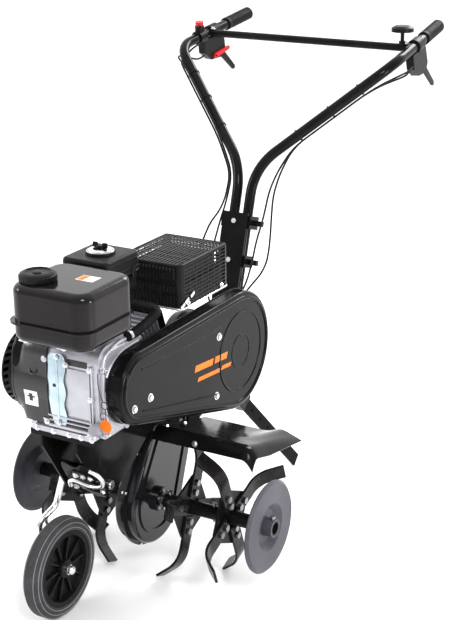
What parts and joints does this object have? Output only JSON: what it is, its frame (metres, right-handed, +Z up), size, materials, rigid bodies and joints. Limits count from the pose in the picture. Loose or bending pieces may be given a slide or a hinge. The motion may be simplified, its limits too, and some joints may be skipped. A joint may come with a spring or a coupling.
{
  "type": "tiller",
  "caption": "Petrol walk-behind tiller with tine rotor, side discs, chain case, belt-driven engine, front wheel, drag bar and forked handlebars.",
  "frame": {"origin": "on the ground, under the middle of the bounding box", "axes": "+X to the machine's left (seen from the operator), +Y to its rear towards the handles, +Z up"},
  "size_m": [0.703, 1.4802, 1.2352],
  "materials": {
    "black_paint": "semi-gloss",
    "grey_paint": "satin",
    "cast_alloy": "cast",
    "steel": "machined",
    "zinc": "zinc plated",
    "black_plastic": "grained",
    "red_plastic": "glossy",
    "rubber": "matt",
    "tyre": "matt"
  },
  "bodies": {
    "chassis": {"air_cleaner_base": "black_plastic", "air_cleaner_cover": "black_plastic", "belt_backplate": "black_paint", "belt_cover": "black_paint", "breather_hose": "rubber", "carburettor": "cast_alloy", "chain_case_left": "black_paint", "chain_case_right": "black_paint", "column_clamps": "black_paint", "control_cables": "rubber", "control_housings": "black_plastic", "crankcase": "cast_alloy", "crankcase_cover": "cast_alloy", "cylinder": "cast_alloy", "drive_belt": "rubber", "fan_shroud": "black_paint", "frame_fasteners": "zinc", "fuel_tank": "black_paint", "hand_grips": "rubber", "handlebars": "black_paint", "main_frame": "black_paint", "mudguards": "black_paint", "muffler": "steel", "muffler_guard": "black_paint", "recoil_housing": "black_paint", "rocker_cover": "black_paint", "roller_chains": "steel", "shaft_bearings": "steel"},
    "tine_rotor": {"tine_shaft": "steel", "tine_hubs": "black_paint", "tine_blades": "black_paint", "side_discs": "grey_paint", "tine_fasteners": "zinc", "tine_sprocket": "steel"},
    "counter": {"counter_shaft": "steel"},
    "input": {"input_shaft": "steel", "driven_pulley": "cast_alloy"},
    "crank": {"crankshaft": "steel", "engine_pulley": "cast_alloy", "flywheel": "cast_alloy"},
    "pull_handle": {"recoil_handle": "black_plastic"},
    "reel": {"recoil_reel": "black_plastic"},
    "tensioner": {"tensioner_arm": "zinc"},
    "idler": {"idler_roller": "steel"},
    "tank_cap": {"fuel_cap": "black_plastic"},
    "air_nut": {"air_cleaner_nut": "black_plastic"},
    "choke": {"choke_lever": "black_plastic"},
    "fuel_tap": {"fuel_lever": "black_plastic"},
    "dipstick": {"oil_dipstick": "black_plastic"},
    "wheel_leg": {"wheel_arm": "zinc", "wheel_collars": "zinc"},
    "wheel": {"tyre": "tyre", "wheel_rim": "black_plastic"},
    "stake": {"drag_stake": "black_paint"},
    "stake_knob": {"stake_screw": "black_plastic"},
    "clutch": {"clutch_lever": "black_plastic"},
    "reverse": {"reverse_lever": "black_plastic"},
    "latch": {"safety_latch": "red_plastic"},
    "stop": {"stop_button": "red_plastic"},
    "speed_knob": {"throttle_knob": "black_plastic"}
  },
  "joints": [
    {"name": "tine_spin", "type": "hinge", "parent": "chassis", "child": "tine_rotor", "pos_m": [0, -0.305, 0.1785], "axis": [1, 0, 0], "continuous": true},
    {"name": "counter_spin", "type": "hinge", "parent": "chassis", "child": "counter", "pos_m": [0, -0.216, 0.352], "axis": [1, 0, 0], "continuous": true},
    {"name": "input_spin", "type": "hinge", "parent": "chassis", "child": "input", "pos_m": [0, -0.127, 0.53], "axis": [1, 0, 0], "continuous": true},
    {"name": "crank_spin", "type": "hinge", "parent": "chassis", "child": "crank", "pos_m": [0, -0.56, 0.59], "axis": [1, 0, 0], "continuous": true},
    {"name": "starter_pull", "type": "slide", "parent": "chassis", "child": "pull_handle", "axis": [0, 0, 1], "range_m": [0, 0.09], "stiffness_N_per_m": 60},
    {"name": "reel_turn", "type": "hinge", "parent": "chassis", "child": "reel", "pos_m": [0, -0.56, 0.59], "axis": [1, 0, 0], "range_deg": [0, 110]},
    {"name": "tensioner_swing", "type": "hinge", "parent": "chassis", "child": "tensioner", "pos_m": [0.115, -0.285, 0.453], "axis": [-1, 0, 0], "range_deg": [0, 6]},
    {"name": "idler_spin", "type": "hinge", "parent": "tensioner", "child": "idler", "pos_m": [0.139, -0.365, 0.472], "axis": [1, 0, 0], "continuous": true},
    {"name": "tank_cap_turn", "type": "hinge", "parent": "chassis", "child": "tank_cap", "pos_m": [-0.014, -0.68, 0.844], "axis": [0, 0, 1], "range_deg": [0, 90]},
    {"name": "air_nut_turn", "type": "hinge", "parent": "chassis", "child": "air_nut", "pos_m": [-0.001, -0.469, 0.844], "axis": [0, 0, 1], "range_deg": [0, 180]},
    {"name": "choke_turn", "type": "hinge", "parent": "chassis", "child": "choke", "pos_m": [-0.059, -0.503, 0.735], "axis": [1, 0, 0], "range_deg": [0, 60]},
    {"name": "fuel_turn", "type": "hinge", "parent": "chassis", "child": "fuel_tap", "pos_m": [-0.059, -0.471, 0.735], "axis": [-1, 0, 0], "range_deg": [0, 60]},
    {"name": "dipstick_turn", "type": "hinge", "parent": "chassis", "child": "dipstick", "pos_m": [0.106, -0.65, 0.522], "axis": [0, 1, 0], "range_deg": [0, 180]},
    {"name": "wheel_fold", "type": "hinge", "parent": "chassis", "child": "wheel_leg", "pos_m": [0, -0.543, 0.324], "axis": [-1, 0, 0], "range_deg": [0, 80]},
    {"name": "wheel_spin", "type": "hinge", "parent": "wheel_leg", "child": "wheel", "pos_m": [-0.05, -0.613, 0.12], "axis": [1, 0, 0], "continuous": true},
    {"name": "stake_slide", "type": "slide", "parent": "chassis", "child": "stake", "axis": [0, 0.7169, -0.6972], "range_m": [-0.08, 0.08]},
    {"name": "stake_knob_turn", "type": "hinge", "parent": "chassis", "child": "stake_knob", "pos_m": [0.0605, 0.03371, 0.33235], "axis": [1, 0, 0], "range_deg": [0, 180]},
    {"name": "clutch_squeeze", "type": "hinge", "parent": "chassis", "child": "clutch", "pos_m": [-0.30914, 0.58826, 1.12472], "axis": [0.9966, -0.0536, -0.0622], "range_deg": [0, 35], "stiffness_Nm_per_rad": 1.5, "springref_deg": -17.19},
    {"name": "reverse_squeeze", "type": "hinge", "parent": "chassis", "child": "reverse", "pos_m": [0.30852, 0.59814, 1.12618], "axis": [0.9966, 0.0536, 0.0622], "range_deg": [0, 35], "stiffness_Nm_per_rad": 1.5, "springref_deg": -17.19},
    {"name": "latch_press", "type": "hinge", "parent": "chassis", "child": "latch", "pos_m": [-0.29735, 0.54873, 1.11303], "axis": [0.9966, -0.0536, -0.0622], "range_deg": [0, 20], "stiffness_Nm_per_rad": 0.3, "springref_deg": -11.46},
    {"name": "stop_press", "type": "slide", "parent": "chassis", "child": "stop", "axis": [-0.0536, 0.1494, -0.9873], "range_m": [0, 0.0035], "stiffness_N_per_m": 400},
    {"name": "speed_turn", "type": "hinge", "parent": "chassis", "child": "speed_knob", "pos_m": [0.28, 0.53, 1.2], "axis": [0, 0, 1], "range_deg": [0, 120]}
  ],
  "couplings": [
    {"joint": "counter_spin", "follows": "tine_spin", "ratio": 3},
    {"joint": "input_spin", "follows": "tine_spin", "ratio": 7.2},
    {"joint": "reel_turn", "follows": "starter_pull", "rad_per_m": 20},
    {"joint": "tensioner_swing", "follows": "clutch_squeeze", "ratio": 0.17143}
  ]
}
